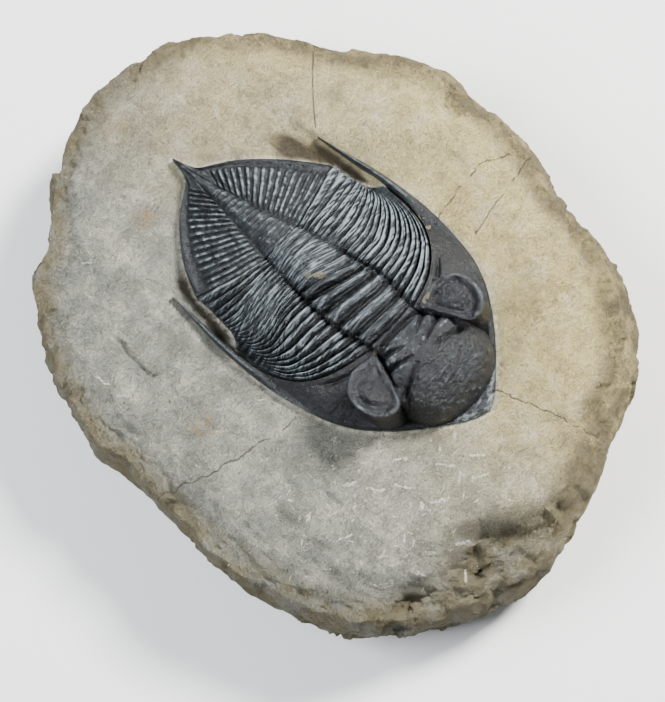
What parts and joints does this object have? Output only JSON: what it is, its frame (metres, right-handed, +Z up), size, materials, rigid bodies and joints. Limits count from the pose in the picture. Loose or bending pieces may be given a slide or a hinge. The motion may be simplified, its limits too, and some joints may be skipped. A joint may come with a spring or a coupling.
{
  "type": "fossil trilobite",
  "caption": "Prepared trilobite fossil in relief on a rounded limestone block, with tall eyes, long cheek spines, ribbed thorax and tail shield with an end spine.",
  "frame": {"origin": "on the underside, below the middle of the block's box", "axes": "+Z up out of the fossil's back; +Y towards the tail spine; -Y towards the snout; +X to the right of a viewer who looks down with the tail away"},
  "size_m": [0.1094, 0.1378, 0.0405],
  "materials": {
    "limestone": null,
    "fossil_calcite": null
  },
  "bodies": {
    "root": {"rock_matrix": "limestone", "head_shield": "fossil_calcite", "thorax_segment_01": "fossil_calcite", "thorax_segment_02": "fossil_calcite", "thorax_segment_03": "fossil_calcite", "thorax_segment_04": "fossil_calcite", "thorax_segment_05": "fossil_calcite", "thorax_segment_06": "fossil_calcite", "thorax_segment_07": "fossil_calcite", "thorax_segment_08": "fossil_calcite", "thorax_segment_09": "fossil_calcite", "thorax_segment_10": "fossil_calcite", "thorax_segment_11": "fossil_calcite", "tail_shield": "fossil_calcite"}
  },
  "joints": []
}
